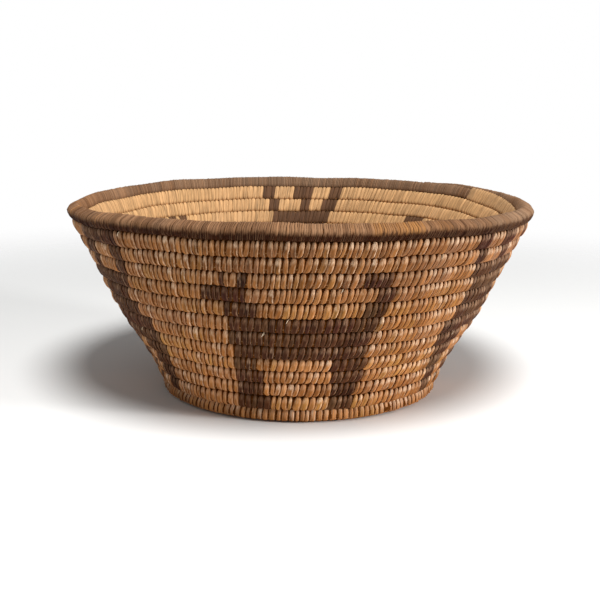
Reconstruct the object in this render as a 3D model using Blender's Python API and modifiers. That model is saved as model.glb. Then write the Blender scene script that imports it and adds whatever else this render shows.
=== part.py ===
"""A coiled figural basket.

One bundle of grass winds out from a knot at the centre of the base, round the foot and up
a flaring wall to a dark rim. Dark splints, wrapped round the bundle instead of pale ones,
draw three four-legged animals and three people with raised arms.

Metres, +Z up, origin under the middle of the foot. An azimuth is counted in degrees from
the front (-Y) towards +X, and the coil winds that way. A level counts rounds along the
profile: half a round at the edge of the knot, then one more for each round outwards and
upwards. In the figures, row 1 is the round under the rim.
"""

import functools
import math

import bmesh
import bpy
import numpy as np
from mathutils import Vector

OBJECT_NAME = "figural_basket"

# Centre line of the coil
RIM_LINE_RADIUS = 0.1174
RIM_LINE_HEIGHT = 0.0972
FOOT_LINE_RADIUS = 0.0694
ROUND_HEIGHT = 0.0081
KNOT_RADIUS = 0.0086
BASE_RISE = 0.0020

# Cross-section of the bundle and its sewing
COIL_THICKNESS = 0.0064
COIL_FLAT = 0.0024
SPLINT_THICKNESS = 0.0003
SPLINT_CLEARANCE = 0.0003
SPLINT_BITE = 0.0001
SELF_GAP = 0.00045
END_GAP = 0.0003
FOOT_FLAT = 0.0005

# Knot and cutters
KNOT_THICKNESS = 0.0060
KNOT_ROUNDING = 0.0018
CUT_OVERRUN = 0.005
WELD_DISTANCE = 0.000001

# The base is flat in the middle and turns down to the foot, whose round leans outwards
BASE_ROUNDNESS = 6
FOOT_LEAN_DEGREES = 56.0

# Flare of the wall: share of its height, share of its spread
WALL_SHARES = ((0.0, 0.0), (0.17, 0.139), (0.47, 0.487), (0.75, 0.752), (1.0, 1.0))

# The coil climbs from one round to the next in this arc, behind the right-hand side
CLIMB_START_DEGREES = 75.0
CLIMB_ARC_DEGREES = 80.0
START_SHARE = 0.25
THINNING_SHARE = 0.25
TAIL_SHARE = 0.5
TAIL_BUNDLE_SHARE = 0.3
STEPS_A_ROUND = 24
WALL_STEPS = 240
KNOT_SIDES = 20
FLAT_LIMIT_DEGREES = 0.1

# Stretches of dark sewing by row, in degrees from the middle of the figure
ANIMAL_ROWS = {
    3: ((-18.6, -16.9), (-14.2, -12.4), (14.0, 21.5)),
    4: ((-25.5, -12.0), (18.5, 23.5)),
    5: ((-20.2, -11.4), (17.0, 22.6)),
    6: ((-19.5, 20.4),),
    7: ((-20.1, 20.8),),
    8: ((-20.6, 20.0),),
    9: ((-20.0, -12.3), (10.2, 20.5)),
    10: ((-20.5, -11.6), (10.5, 20.2)),
    11: ((-20.2, -11.2), (10.1, 19.6)),
    12: ((-20.6, -11.6), (10.5, 19.1)),
}
PERSON_ROWS = {
    1: ((-12.5, -8.8), (-3.2, 2.2), (8.6, 12.4)),
    2: ((-11.0, -6.8), (-2.4, 0.8), (7.2, 11.2)),
    3: ((-9.4, 10.4),),
    4: ((-8.2, 8.4),),
    5: ((-7.4, 6.8),),
    6: ((-9.2, 8.6),),
    7: ((-12.0, 10.6),),
    8: ((-13.0, -2.0), (2.0, 12.6)),
    9: ((-11.8, -2.4), (1.8, 13.0)),
    10: ((-9.8, -2.2), (2.0, 10.5)),
    11: ((-8.0, -2.2), (3.0, 9.5)),
    12: ((-7.4, -2.8), (3.4, 9.0)),
}
FIGURES = (
    ("animal_front", ANIMAL_ROWS, 0.0),
    ("person_right", PERSON_ROWS, 60.0),
    ("animal_back_right", ANIMAL_ROWS, 120.0),
    ("person_back", PERSON_ROWS, 180.0),
    ("animal_back_left", ANIMAL_ROWS, 240.0),
    ("person_left", PERSON_ROWS, 300.0),
)


def eased(share):
    """A smooth run from 0 to 1 as the share goes from 0 to 1."""
    share = min(max(share, 0.0), 1.0)
    return share * share * (3.0 - 2.0 * share)


def smooth_share(table, at):
    """The table's second value at a first value, on a smooth curve through its rows."""
    first = np.array([row[0] for row in table])
    second = np.array([row[1] for row in table])
    slopes = np.gradient(second, first)
    i = min(max(int(np.searchsorted(first, at)) - 1, 0), len(first) - 2)
    width = first[i + 1] - first[i]
    t = (at - first[i]) / width
    return (
        second[i] * (1.0 - eased(t))
        + second[i + 1] * eased(t)
        + width * (slopes[i] * t * (1.0 - t) ** 2 - slopes[i + 1] * t * t * (1.0 - t))
    )


def wall_table(foot_height):
    """Radius, height and length from the foot, at even steps of height."""
    shares = np.linspace(0.0, 1.0, WALL_STEPS + 1)
    spread = RIM_LINE_RADIUS - FOOT_LINE_RADIUS
    radii = np.array([FOOT_LINE_RADIUS + spread * smooth_share(WALL_SHARES, s) for s in shares])
    heights = foot_height + (RIM_LINE_HEIGHT - foot_height) * shares
    steps = np.hypot(np.diff(radii), np.diff(heights))
    return radii, heights, np.concatenate(([0.0], np.cumsum(steps)))


def foot_reach(half_height):
    """How far the foot's leaning round reaches down from the coil's centre line."""
    lean = math.radians(FOOT_LEAN_DEGREES)
    return COIL_FLAT / 2 * math.sin(lean) + half_height * math.cos(lean)


# The wall, from the foot's centre line to the rim's
SEWING_GROWTH = SPLINT_CLEARANCE + SPLINT_THICKNESS
RIM_LIFT = SPLINT_CLEARANCE + 2 * SPLINT_BITE
FOOT_LINE_HEIGHT = foot_reach(ROUND_HEIGHT / 2 + SPLINT_BITE - SEWING_GROWTH) - FOOT_FLAT
RADII, HEIGHTS, LENGTHS = wall_table(FOOT_LINE_HEIGHT)
WALL_LENGTH = float(LENGTHS[-1])

# Rounds of the base and wall, and the pitch that shares each out evenly
WALL_ROUNDS = max(round(WALL_LENGTH / ROUND_HEIGHT), 1)
WALL_PITCH = WALL_LENGTH / WALL_ROUNDS
BASE_SPAN = FOOT_LINE_RADIUS - KNOT_RADIUS
BASE_ROUNDS = max(round(BASE_SPAN / ROUND_HEIGHT + 0.5), 2)
BASE_PITCH = BASE_SPAN / (BASE_ROUNDS - 0.5)
RIM_LEVEL = BASE_ROUNDS + WALL_ROUNDS

# Turns at which one length of the coil ends and the next begins
WALL_START = BASE_ROUNDS - 1
RIM_START = RIM_LEVEL - 1
RIM_END = RIM_LEVEL
CLIMB_SHARE = CLIMB_ARC_DEGREES / 360.0

# Lengths of the coil meet half way between two steps, where it runs straight
WALL_JOINT = WALL_START + 0.5 / STEPS_A_ROUND
RIM_JOINT = RIM_START + 0.5 / STEPS_A_ROUND

# Half height, half thickness and half flat of each section
HALF_SEWN = WALL_PITCH / 2 + SPLINT_BITE
HALF_BUNDLE = HALF_SEWN - SEWING_GROWTH
ROUND_GAP = WALL_PITCH - 2 * HALF_BUNDLE


def section(growth=0.0):
    """The bundle's six-sided section, grown evenly all round, as points out and up."""
    high = HALF_BUNDLE
    lean = (COIL_THICKNESS - COIL_FLAT) / 2
    slant = math.hypot(high, lean)
    thick = COIL_THICKNESS / 2 + growth * slant / high
    flat = COIL_FLAT / 2 + growth * (slant - lean) / high
    high += growth
    return ((thick, 0.0), (flat, high), (-flat, high), (-thick, 0.0), (-flat, -high), (flat, -high))


@functools.lru_cache(maxsize=None)
def line_at(level):
    """Radius and height of the coil's centre line at a level, one pitch from the round before."""
    if level <= BASE_ROUNDS:
        radius = KNOT_RADIUS + BASE_PITCH * (level - 0.5)
        rise = BASE_RISE * (1.0 - (radius / FOOT_LINE_RADIUS) ** BASE_ROUNDNESS)
        return Vector((radius, FOOT_LINE_HEIGHT + rise))
    below = line_at(level - 1)
    pitch = BASE_PITCH + min(level - BASE_ROUNDS, 1.0) * (WALL_PITCH - BASE_PITCH)
    apart = np.hypot(RADII - below.x, HEIGHTS - below.y)
    nearest = int(np.argmin(apart))
    length = np.interp(pitch, apart[nearest:], LENGTHS[nearest:])
    return Vector((np.interp(length, LENGTHS, RADII), np.interp(length, LENGTHS, HEIGHTS)))


def climbed(turn):
    """Share of the climb to the next round made at a turn."""
    part = turn % 1.0
    in_arc = eased(part / CLIMB_SHARE)
    level_share = min(turn / WALL_START, 1.0)
    return part + level_share * (in_arc - part)


def round_width(level):
    """Width at a level that keeps the gap to the rounds before and after, as a share."""
    here = line_at(level)
    nearest = min((line_at(level + 1) - here).length, (here - line_at(level - 1)).length)
    return (nearest - ROUND_GAP) / (2 * HALF_BUNDLE)


def tail_width(turn):
    """Width of the sewn rim, as a share of full width, where it runs out over its start."""
    start_level = RIM_LEVEL - 1 + eased((turn - RIM_END) / CLIMB_SHARE)
    room = (line_at(RIM_LEVEL) - line_at(start_level)).length - SELF_GAP
    thinned = min((turn - RIM_END) / THINNING_SHARE + 1.0, 1.0)
    return 1.0 + thinned * (room / (2 * HALF_SEWN) - 1.0)


def level_and_width(turn):
    """The coil's level at a turn, and its width as a share of full width."""
    if turn < 1.0:
        return turn / 2 + 0.5, (turn * BASE_PITCH - ROUND_GAP) / (2 * HALF_BUNDLE)
    if turn > RIM_END - THINNING_SHARE:
        return RIM_LEVEL, tail_width(turn)
    level = math.floor(turn) + climbed(turn)
    return level, 1.0 if turn > RIM_START else round_width(level)


def rise_at(turn, width):
    """How far the rim's round is raised off the line, so that its tail keeps a level top."""
    lift = RIM_LIFT * eased((turn - RIM_START) / CLIMB_SHARE)
    if turn <= RIM_END - THINNING_SHARE:
        return lift
    return lift + (1.0 - width) * HALF_SEWN


def grid_point(step):
    """Place, tilt and width of the coil at one of its even steps."""
    turn = step / STEPS_A_ROUND
    level, width = level_and_width(turn)
    along = (line_at(min(level + 1, RIM_LEVEL)) - line_at(level - 1)).normalized()
    radius, height = line_at(level) + rise_at(turn, width) * along
    azimuth = math.radians(CLIMB_START_DEGREES) + math.tau * turn
    place = Vector((radius * math.sin(azimuth), -radius * math.cos(azimuth), height))
    return place, math.atan2(along.x, along.y), width


def coil_point(turn):
    """A point on the straight stretch between two steps, so that all that fits the coil lines up."""
    step = math.floor(turn * STEPS_A_ROUND + WELD_DISTANCE)
    share = turn * STEPS_A_ROUND - step
    if share < WELD_DISTANCE:
        return grid_point(step)
    here, there = grid_point(step), grid_point(step + 1)
    place = here[0].lerp(there[0], share)
    return place, here[1] + share * (there[1] - here[1]), here[2] + share * (there[2] - here[2])


def stretch(start, end):
    """Points of the coil from one turn to another: both ends and every step between them."""
    first = math.floor(start * STEPS_A_ROUND) + 1
    last = math.ceil(end * STEPS_A_ROUND) - 1
    turns = [start] + [step / STEPS_A_ROUND for step in range(first, last + 1)] + [end]
    return [coil_point(turn) for turn in turns]


def turns_for(length, turn):
    """A length along the coil near a turn, in turns."""
    radius = line_at(level_and_width(turn)[0]).x
    return length / (math.tau * radius)


def clear_scene():
    for item in list(bpy.data.objects):
        bpy.data.objects.remove(item)


def new_collection(name):
    collection = bpy.data.collections.new(name)
    bpy.context.scene.collection.children.link(collection)
    return collection


def new_material(name, colour, roughness):
    material = bpy.data.materials.new(name)
    material.use_nodes = True
    shader = material.node_tree.nodes["Principled BSDF"]
    shader.inputs["Base Color"].default_value = (*colour, 1.0)
    shader.inputs["Roughness"].default_value = roughness
    shader.inputs["Metallic"].default_value = 0.0
    return material


def profile_curve(points, collection):
    """A closed flat outline for a curve's bevel."""
    data = bpy.data.curves.new("section", "CURVE")
    data.dimensions = "2D"
    spline = data.splines.new("POLY")
    spline.points.add(len(points) - 1)
    for point, (out, up) in zip(spline.points, points):
        point.co = (out, up, 0.0, 1.0)
    spline.use_cyclic_u = True
    item = bpy.data.objects.new("section", data)
    collection.objects.link(item)
    return item


def tube_mesh(name, stretches, growth, collection):
    """One mesh of closed tubes, each along its own stretch of the coil."""
    outline = profile_curve(section(growth), collection)
    data = bpy.data.curves.new(name, "CURVE")
    data.dimensions = "3D"
    data.twist_mode = "Z_UP"
    data.bevel_mode = "OBJECT"
    data.bevel_object = outline
    data.use_fill_caps = True
    for points in stretches:
        spline = data.splines.new("POLY")
        spline.points.add(len(points) - 1)
        for point, (place, tilt, width) in zip(spline.points, points):
            point.co = (*place, 1.0)
            point.tilt = tilt
            point.radius = width
    item = bpy.data.objects.new(name, data)
    collection.objects.link(item)
    graph = bpy.context.evaluated_depsgraph_get()
    mesh = bpy.data.meshes.new_from_object(item.evaluated_get(graph))
    bpy.data.objects.remove(item)
    bpy.data.objects.remove(outline)
    welded = bmesh.new()
    welded.from_mesh(mesh)
    bmesh.ops.remove_doubles(welded, verts=welded.verts, dist=WELD_DISTANCE)
    bmesh.ops.recalc_face_normals(welded, faces=welded.faces)
    welded.to_mesh(mesh)
    welded.free()
    mesh.name = name
    return mesh


def add_mesh(name, mesh, collection, material=None):
    item = bpy.data.objects.new(name, mesh)
    if material:
        mesh.materials.clear()
        mesh.materials.append(material)
    collection.objects.link(item)
    return item


def add_cutter(name, mesh, collection):
    cutter = add_mesh(name, mesh, collection)
    cutter.hide_render = True
    cutter.display_type = "WIRE"
    return cutter


def subtract(item, cutter, joined_body=False):
    cut = item.modifiers.new("cut", "BOOLEAN")
    cut.operation = "DIFFERENCE"
    cut.solver = "EXACT"
    cut.object = cutter
    cut.use_self = joined_body


def tidy_flats(item):
    """Joins the faces that lie in one plane."""
    flats = item.modifiers.new("flats", "DECIMATE")
    flats.decimate_type = "DISSOLVE"
    flats.angle_limit = math.radians(FLAT_LIMIT_DEGREES)


def corners(turn, growth):
    """The section's corners at a turn, as radius and height."""
    place, tilt, width = coil_point(turn)
    centre = Vector((place.xy.length, place.z))
    out, up = Vector((math.cos(tilt), -math.sin(tilt))), Vector((math.sin(tilt), math.cos(tilt)))
    return centre, [centre + width * (x * out + y * up) for x, y in section(growth)]


def print_least_gap(name, start, end, growth=0.0):
    """Prints the least gap between a coil's rounds, measured from centre to centre."""
    gaps = []
    for step in range(math.ceil(start * STEPS_A_ROUND), math.floor((end - 1) * STEPS_A_ROUND) + 1):
        turn = step / STEPS_A_ROUND
        (below, low_corners), (above, high_corners) = corners(turn, growth), corners(turn + 1, growth)
        link = (above - below).normalized()
        gaps.append(min(c.dot(link) for c in high_corners) - max(c.dot(link) for c in low_corners))
    print(f"{name}: least gap to itself {min(gaps) * 1000:.2f} mm")


def ground_cutter(collection):
    """A slab whose top is the surface that the basket stands on."""
    reach = RIM_LINE_RADIUS + COIL_THICKNESS
    bpy.ops.mesh.primitive_cube_add(size=1.0, location=(0.0, 0.0, -CUT_OVERRUN / 2))
    slab = bpy.context.object
    slab.name = "ground_cutter"
    for vertex in slab.data.vertices:
        vertex.co.x *= 2 * reach
        vertex.co.y *= 2 * reach
        vertex.co.z *= CUT_OVERRUN
    for home in list(slab.users_collection):
        home.objects.unlink(slab)
    collection.objects.link(slab)
    slab.hide_render = True
    slab.display_type = "WIRE"
    return slab


def add_knot(parts, material):
    """The knotted button that the coil starts from."""
    radius = KNOT_RADIUS + ROUND_GAP / 2 - SPLINT_CLEARANCE
    bpy.ops.mesh.primitive_cylinder_add(
        vertices=KNOT_SIDES,
        radius=radius,
        depth=KNOT_THICKNESS,
        location=(0.0, 0.0, FOOT_LINE_HEIGHT + BASE_RISE),
    )
    knot = bpy.context.object
    knot.name = "start_knot"
    for home in list(knot.users_collection):
        home.objects.unlink(knot)
    parts.objects.link(knot)
    rounding = knot.modifiers.new("rounding", "BEVEL")
    rounding.width = KNOT_ROUNDING
    rounding.segments = 2
    rounding.limit_method = "ANGLE"
    knot.data.materials.append(material)


def add_coils(parts, cutters, pale):
    """The base and the wall: each one unbroken tube, standing on the ground."""
    ground = ground_cutter(cutters)
    gap = turns_for(END_GAP / 2, WALL_JOINT)
    base = (START_SHARE, WALL_JOINT - gap)
    wall = (WALL_JOINT + gap, RIM_JOINT - turns_for(END_GAP / 2, RIM_JOINT))
    for name, ends in (("base_coil", base), ("wall_coil", wall)):
        coil = add_mesh(name, tube_mesh(name, [stretch(*ends)], 0.0, parts), parts, pale)
        subtract(coil, ground)
        print_least_gap(name, *ends)


def add_rim(parts, cutters, pale, dark):
    """The rim's bundle, and the dark overcasting that wraps it and runs out to a point."""
    start = RIM_JOINT + turns_for(END_GAP / 2, RIM_JOINT)
    bundle_end = RIM_END + CLIMB_SHARE * TAIL_BUNDLE_SHARE
    sewn_end = RIM_END + CLIMB_SHARE * TAIL_SHARE
    bundle = stretch(start, bundle_end)
    sewn = stretch(start, sewn_end)
    overrun = turns_for(CUT_OVERRUN, RIM_JOINT)
    bore = stretch(start - overrun, bundle_end + turns_for(SPLINT_CLEARANCE, RIM_END))
    add_mesh("rim_bundle", tube_mesh("rim_bundle", [bundle], 0.0, parts), parts, pale)
    wrap = add_mesh("rim_overcast", tube_mesh("rim_overcast", [sewn], SEWING_GROWTH, parts), parts, dark)
    cutter = add_cutter("rim_bore", tube_mesh("rim_bore", [bore], SPLINT_CLEARANCE, cutters), cutters)
    subtract(wrap, cutter)
    print_least_gap("rim_bundle", start, bundle_end)
    print_least_gap("rim_overcast", start, sewn_end, SEWING_GROWTH)


def add_figure(name, rows, middle, parts, cutters, dark):
    """Dark sewing round the wall's coil, row over row, as one body bored for the coil."""
    past_climb = (middle - CLIMB_START_DEGREES - CLIMB_ARC_DEGREES) % 360.0
    turns_on = (CLIMB_ARC_DEGREES + past_climb) / 360.0
    outer, bores = [], []
    for row, runs in rows.items():
        turn = RIM_START - row + turns_on
        if turn < WALL_START + 1:
            continue
        overrun = turns_for(SPLINT_CLEARANCE, turn)
        for start, end in runs:
            start_turn, end_turn = turn + start / 360.0, turn + end / 360.0
            outer.append(stretch(start_turn, end_turn))
            bores.append(stretch(start_turn - overrun, end_turn + overrun))
    figure = add_mesh(name, tube_mesh(name, outer, SEWING_GROWTH, parts), parts, dark)
    bore_mesh = tube_mesh(name + "_bore", bores, SPLINT_CLEARANCE, cutters)
    subtract(figure, add_cutter(name + "_bore", bore_mesh, cutters), joined_body=True)
    tidy_flats(figure)


def main():
    clear_scene()
    parts = new_collection(OBJECT_NAME)
    cutters = new_collection("cutters")
    pale = new_material("pale_splint", (0.44, 0.24, 0.11), 0.62)
    dark = new_material("dark_splint", (0.045, 0.026, 0.018), 0.55)
    add_knot(parts, dark)
    add_coils(parts, cutters, pale)
    add_rim(parts, cutters, pale, dark)
    for name, rows, middle in FIGURES:
        add_figure(name, rows, middle, parts, cutters, dark)


main()
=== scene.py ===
"""A coiled figural basket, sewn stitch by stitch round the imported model.

Metres, +Z up, -Y to the front. An azimuth is counted in degrees from the front towards +X, and
the coil winds that way. A turn counts rounds along the coil from the knot, and a level counts
them along the profile. The line of the coil is worked out from the same driving dimensions as
the part's own.
"""

import math

import bpy
import numpy as np
from mathutils import Euler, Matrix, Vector


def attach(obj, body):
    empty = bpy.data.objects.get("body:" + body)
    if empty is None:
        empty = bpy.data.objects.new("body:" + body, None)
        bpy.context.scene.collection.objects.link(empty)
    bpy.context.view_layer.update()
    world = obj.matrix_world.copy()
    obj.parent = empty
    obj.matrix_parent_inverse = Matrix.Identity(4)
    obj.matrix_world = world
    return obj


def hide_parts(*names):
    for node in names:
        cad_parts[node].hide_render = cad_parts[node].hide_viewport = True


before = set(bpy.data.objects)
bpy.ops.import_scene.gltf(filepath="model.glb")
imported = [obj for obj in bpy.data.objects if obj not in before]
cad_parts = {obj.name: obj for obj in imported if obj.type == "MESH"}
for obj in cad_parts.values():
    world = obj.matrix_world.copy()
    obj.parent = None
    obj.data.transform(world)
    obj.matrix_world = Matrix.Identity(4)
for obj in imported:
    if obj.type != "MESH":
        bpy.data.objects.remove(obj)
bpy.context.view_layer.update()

# Line of the coil, as in the part
RIM_LINE_RADIUS = 0.1174
RIM_LINE_HEIGHT = 0.0972
FOOT_LINE_RADIUS = 0.0694
ROUND_HEIGHT = 0.0081
KNOT_RADIUS = 0.0086
BASE_RISE = 0.0020
COIL_THICKNESS = 0.0064
COIL_FLAT = 0.0024
SPLINT_THICKNESS = 0.0003
SPLINT_CLEARANCE = 0.0003
SPLINT_BITE = 0.0001
KNOT_THICKNESS = 0.0060
FOOT_FLAT = 0.0005
BASE_ROUNDNESS = 6
FOOT_LEAN_DEGREES = 56.0
WALL_SHARES = ((0.0, 0.0), (0.17, 0.139), (0.47, 0.487), (0.75, 0.752), (1.0, 1.0))
CLIMB_START_DEGREES = 75.0
CLIMB_ARC_DEGREES = 80.0
THINNING_SHARE = 0.25
WALL_STEPS = 240

# Unlike the part's: the coil starts close to the knot, its tail runs on, and dark sewing starts later
START_SHARE = 0.06
TAIL_SHARE = 0.80
TAIL_OVERLAP = 0.0007
DARK_START_SHARE = 0.55

# Steps of the coil's tables
LEVEL_STEPS = 48
TURN_STEPS = 240

# The rim sinks at each side, as in the photograph: depth, azimuth and spread in degrees
LEFT_DIP = 0.0024
RIGHT_DIP = 0.0013
DIPS = ((LEFT_DIP, -96.0, 38.0), (RIGHT_DIP, 94.0, 34.0))

# Unevenness of hand work, out and up: size, waves round the basket, slant with height, start
WAVES_OUT = ((0.00045, 2, 0.0, 0.7), (0.00025, 5, 40.0, 0.0), (0.00012, 13, 210.0, 0.0))
WAVES_UP = ((0.00035, 3, 0.0, 1.9), (0.00022, 11, 90.0, 0.0), (0.00012, 19, -150.0, 0.0))
LEAST_HEIGHT = 0.00004

# How square the coil's section is at degrees round it: rounder low on its outer face, where it tucks in
SQUARENESS = (
    (-90.0, 2.3), (-20.0, 2.6), (20.0, 3.2), (60.0, 3.6), (90.0, 4.0), (110.0, 5.0), (270.0, 5.0),
)

# Where a stitch turns to the basket's inside and ends it, in degrees from straight out towards up
INNER_START = (95.0, 130.0)
INNER_END = (262.0, 242.0)

# Sewing
STITCH_PITCH = 0.00278
WRAP_PITCH = 0.00100
SPLINT_CROWN = 0.00078
WRAP_CROWN = 0.00034
SPLINT_INSET = 0.00040
STITCH_DIP = 0.00075
WRAP_DIP = 0.00020
RIM_SHRINK = 0.00070
ROW_RAISE = 0.00080
ROW_RAISE_ROUNDS = 3.0
UNDERSIDE = -0.00035
INNER_REACH = 0.80
EDGE_LEVEL = -0.00010
CROWN_POWER = 2.2
CROWN_FULLNESS = 0.75
FACE_END_DEGREES = 50.0
CREASE_SQUEEZE = 0.7
LOOSE_END_SHARE = 0.016
LOOSE_LEAN, LOOSE_CROWN = 0.9, 0.3
RIM_SPLIT_TURN = 0.55
FIRST_STITCH_TURN = 0.04

# Where a stitch's ends turn aside to meet the round before, in degrees, and how far
LOW_TURN = (-5.0, -70.0)
HIGH_TURN = (205.0, 265.0)
LONGEST_SHIFT = 0.0010
SHIFT_SHARE = 0.7

# How unevenly stitches are laid: each by itself, and slowly along the coil
STITCH_UNEVEN = 0.16
STITCH_LEAST, STITCH_MOST = -1.8, 2.2
SLOW_STITCHES = 60
SLOW_LEAST, SLOW_SPAN = 0.92, 0.16

# What differs from stitch to stitch: middle and spread, as shares, and in metres for the bow
STITCH_HAND = {
    "width": (0.93, 0.06),
    "crown": (1.0, 0.20),
    "roll": (0.02, 0.06),
    "lean": (0.0, 0.07),
    "bow": (0.0, 0.00012),
    "plump": (1.0, 0.028),
}
WRAP_HAND = {"lean": (0.35, 0.18), "crown": (1.0, 0.28), "width": (1.12, 0.08)}
WRAP_FORM = {"roll": (0.0, 0.05), "plump": (1.01, 0.012)}

# Grass bundle, and how much smaller it is than the sewn coil in thickness and height
BUNDLE_AROUND = 14
BUNDLE_STEPS = 180
BUNDLE_LUMPS = 0.00005
BUNDLE_THINNER = 0.00012
BUNDLE_SHORTER = -0.00010
RIM_CORE_THINNER = 0.00040
RIM_CORE_SHORTER = 0.00080
BUNDLE_JOIN_TURN = 0.02

# Start knot
KNOT_WRAPS = 16
KNOT_STEPS = 28
KNOT_RING_SHARE = 0.36
KNOT_SWIRL = 0.18
KNOT_WRAP_WIDTH_SHARE = 0.97
KNOT_STRIP_WIDTH = 0.0022
KNOT_STRIP_SPACING = 1.06
KNOT_STRIP_STEPS = 25
KNOT_PLAIT_HEIGHT = 0.0016
KNOT_PLAIT_REACH_SHARE = 0.5
KNOT_PLAIT_DROOP = 0.0007
KNOT_PLAIT_WAVES = 1.5
KNOT_PLAIT_WAVE_SHARE = 0.45
KNOT_PLAIT_CROWN_SHARE = 0.5
KNOT_WRAP_TINT, KNOT_PLAIT_TINT = 0.5, 0.6
SEED = 2718

# Floor and lamps: place, size and power of each lamp, all aimed at the basket's middle
FLOOR_RADIUS = 0.70
FLOOR_CORNERS = 96
FLOOR_DROP = 0.0002
FLOOR_FADE_START = 0.22
FLOOR_COLOUR = (0.80, 0.80, 0.79, 1.0)
WORLD_LIGHT = 0.27
LAMP_AIM = (0.0, 0.0, 0.05)
LAMPS = {
    "key": ((0.10, -0.44, 1.00), 0.42, 13.2),
    "side": ((1.06, -0.42, 0.32), 0.18, 9.4),
}

# The photograph's view: distance and height of the camera, its tilt and roll in radians, and its lens
CAMERA_DISTANCE = 0.5259
CAMERA_HEIGHT = 0.1557
CAMERA_TILT = 0.2078
CAMERA_ROLL = 0.008
CAMERA_CLIP_START = 0.01
FOCAL_PIXELS = 990.0
SHIFT_PIXELS = 0.45
IMAGE_PIXELS = 600.0
SENSOR_MM = 36.0

# Dark sewing by row, in degrees from the middle of the figure; row 1 is the one under the rim. Figures
# that the photograph shows have rows of their own, a few degrees away from the part's
ANIMAL_ROWS = {
    3: ((-18.6, -16.9), (-14.2, -12.4), (14.0, 21.5)),
    4: ((-24.9, -12.6), (18.5, 23.9)),
    5: ((-19.6, -11.4), (17.0, 22.6)),
    6: ((-19.5, 19.6),),
    7: ((-20.1, 19.4),),
    8: ((-19.8, 19.8),),
    9: ((-20.8, -12.3), (10.2, 20.5)),
    10: ((-20.5, -12.2), (10.5, 20.2)),
    11: ((-21.4, -12.4), (10.1, 19.6)),
    12: ((-22.4, -11.2), (10.5, 19.1)),
}
PERSON_ROWS = {
    1: ((-12.5, -8.8), (-3.2, 2.2), (8.6, 12.4)),
    2: ((-11.0, -6.8), (-2.4, 0.8), (7.2, 11.2)),
    3: ((-9.4, 10.4),),
    4: ((-8.2, 8.4),),
    5: ((-7.4, 6.8),),
    6: ((-9.2, 8.6),),
    7: ((-12.0, 10.6),),
    8: ((-13.0, -2.0), (2.0, 12.6)),
    9: ((-11.8, -2.4), (1.8, 13.0)),
    10: ((-9.8, -2.2), (2.0, 10.5)),
    11: ((-8.0, -2.2), (3.0, 9.5)),
    12: ((-7.4, -2.8), (3.4, 9.0)),
}
BACK_RIGHT_ROWS = {
    **ANIMAL_ROWS,
    3: ((-18.6, -16.9), (-14.2, -12.4)),
    4: ((-24.9, -12.6), (16.0, 23.5)),
}
PERSON_RIGHT_ROWS = {
    1: ((-17.4, -12.8), (-6.0, -0.6), (6.2, 11.0)),
    2: ((-15.4, -11.4), (-3.9, -0.2), (6.4, 10.6)),
    3: ((-13.3, 9.8),),
    4: ((-10.8, 8.4),),
    5: ((-11.6, 7.4),),
    6: ((-13.0, 8.8),),
    7: ((-15.4, 10.8),),
    8: ((-14.3, -1.5), (5.6, 13.2)),
    9: ((-11.7, -1.7), (5.8, 13.0)),
    10: ((-9.7, -1.4), (5.5, 11.8)),
    11: ((-7.4, -0.4), (5.7, 11.0)),
    12: ((-7.2, 0.4), (6.0, 10.6)),
}
PERSON_LEFT_ROWS = {
    1: ((-3.5, 13.6),),
    2: ((-16.2, -12.4), (-6.2, 0.9), (9.0, 12.8)),
    3: ((-15.4, -11.2), (-5.5, -0.8), (7.8, 12.2)),
    4: ((-13.4, 10.8),),
    5: ((-10.4, 7.7),),
    6: ((-11.2, 8.8),),
    7: ((-13.6, 12.4),),
    8: ((-14.0, 12.2),),
    9: ((-14.2, -5.8), (-0.8, 12.0)),
    10: ((-12.2, -6.0), (0.8, 9.0)),
    11: ((-11.2, -6.3), (0.6, 7.8)),
    12: ((-10.4, -5.9), (0.3, 6.8)),
}
FIGURES = (
    ("animal_front", ANIMAL_ROWS, 0.0),
    ("person_right", PERSON_RIGHT_ROWS, 60.0),
    ("animal_back_right", BACK_RIGHT_ROWS, 118.3),
    ("person_back", PERSON_ROWS, 178.6),
    ("animal_back_left", ANIMAL_ROWS, 240.0),
    ("person_left", PERSON_LEFT_ROWS, 300.0),
)


def eased(share):
    """A smooth run from 0 to 1 as the share goes from 0 to 1."""
    share = np.clip(share, 0.0, 1.0)
    return share * share * (3.0 - 2.0 * share)


def rise(value, start, full):
    """A smooth run from 0 to 1 as the value goes from a start to where it is full."""
    return eased((value - start) / (full - start))


def smooth_share(table, at):
    """The table's second value at first values, on a smooth curve through its rows."""
    first, second = np.array(table).T
    slopes = np.gradient(second, first)
    i = np.clip(np.searchsorted(first, at) - 1, 0, len(first) - 2)
    width = first[i + 1] - first[i]
    t = (at - first[i]) / width
    bend = slopes[i] * t * (1.0 - t) ** 2 - slopes[i + 1] * t * t * (1.0 - t)
    return second[i] * (1.0 - eased(t)) + second[i + 1] * eased(t) + width * bend


def wall_table(foot_height):
    """Radius, height and length from the foot, at even steps of height."""
    shares = np.linspace(0.0, 1.0, WALL_STEPS + 1)
    radii = FOOT_LINE_RADIUS + (RIM_LINE_RADIUS - FOOT_LINE_RADIUS) * smooth_share(WALL_SHARES, shares)
    heights = foot_height + (RIM_LINE_HEIGHT - foot_height) * shares
    steps = np.hypot(np.diff(radii), np.diff(heights))
    return radii, heights, np.concatenate(([0.0], np.cumsum(steps)))


def foot_reach(half_height):
    """How far the foot's leaning round reaches down from the coil's line."""
    lean = math.radians(FOOT_LEAN_DEGREES)
    return COIL_FLAT / 2 * math.sin(lean) + half_height * math.cos(lean)


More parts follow.
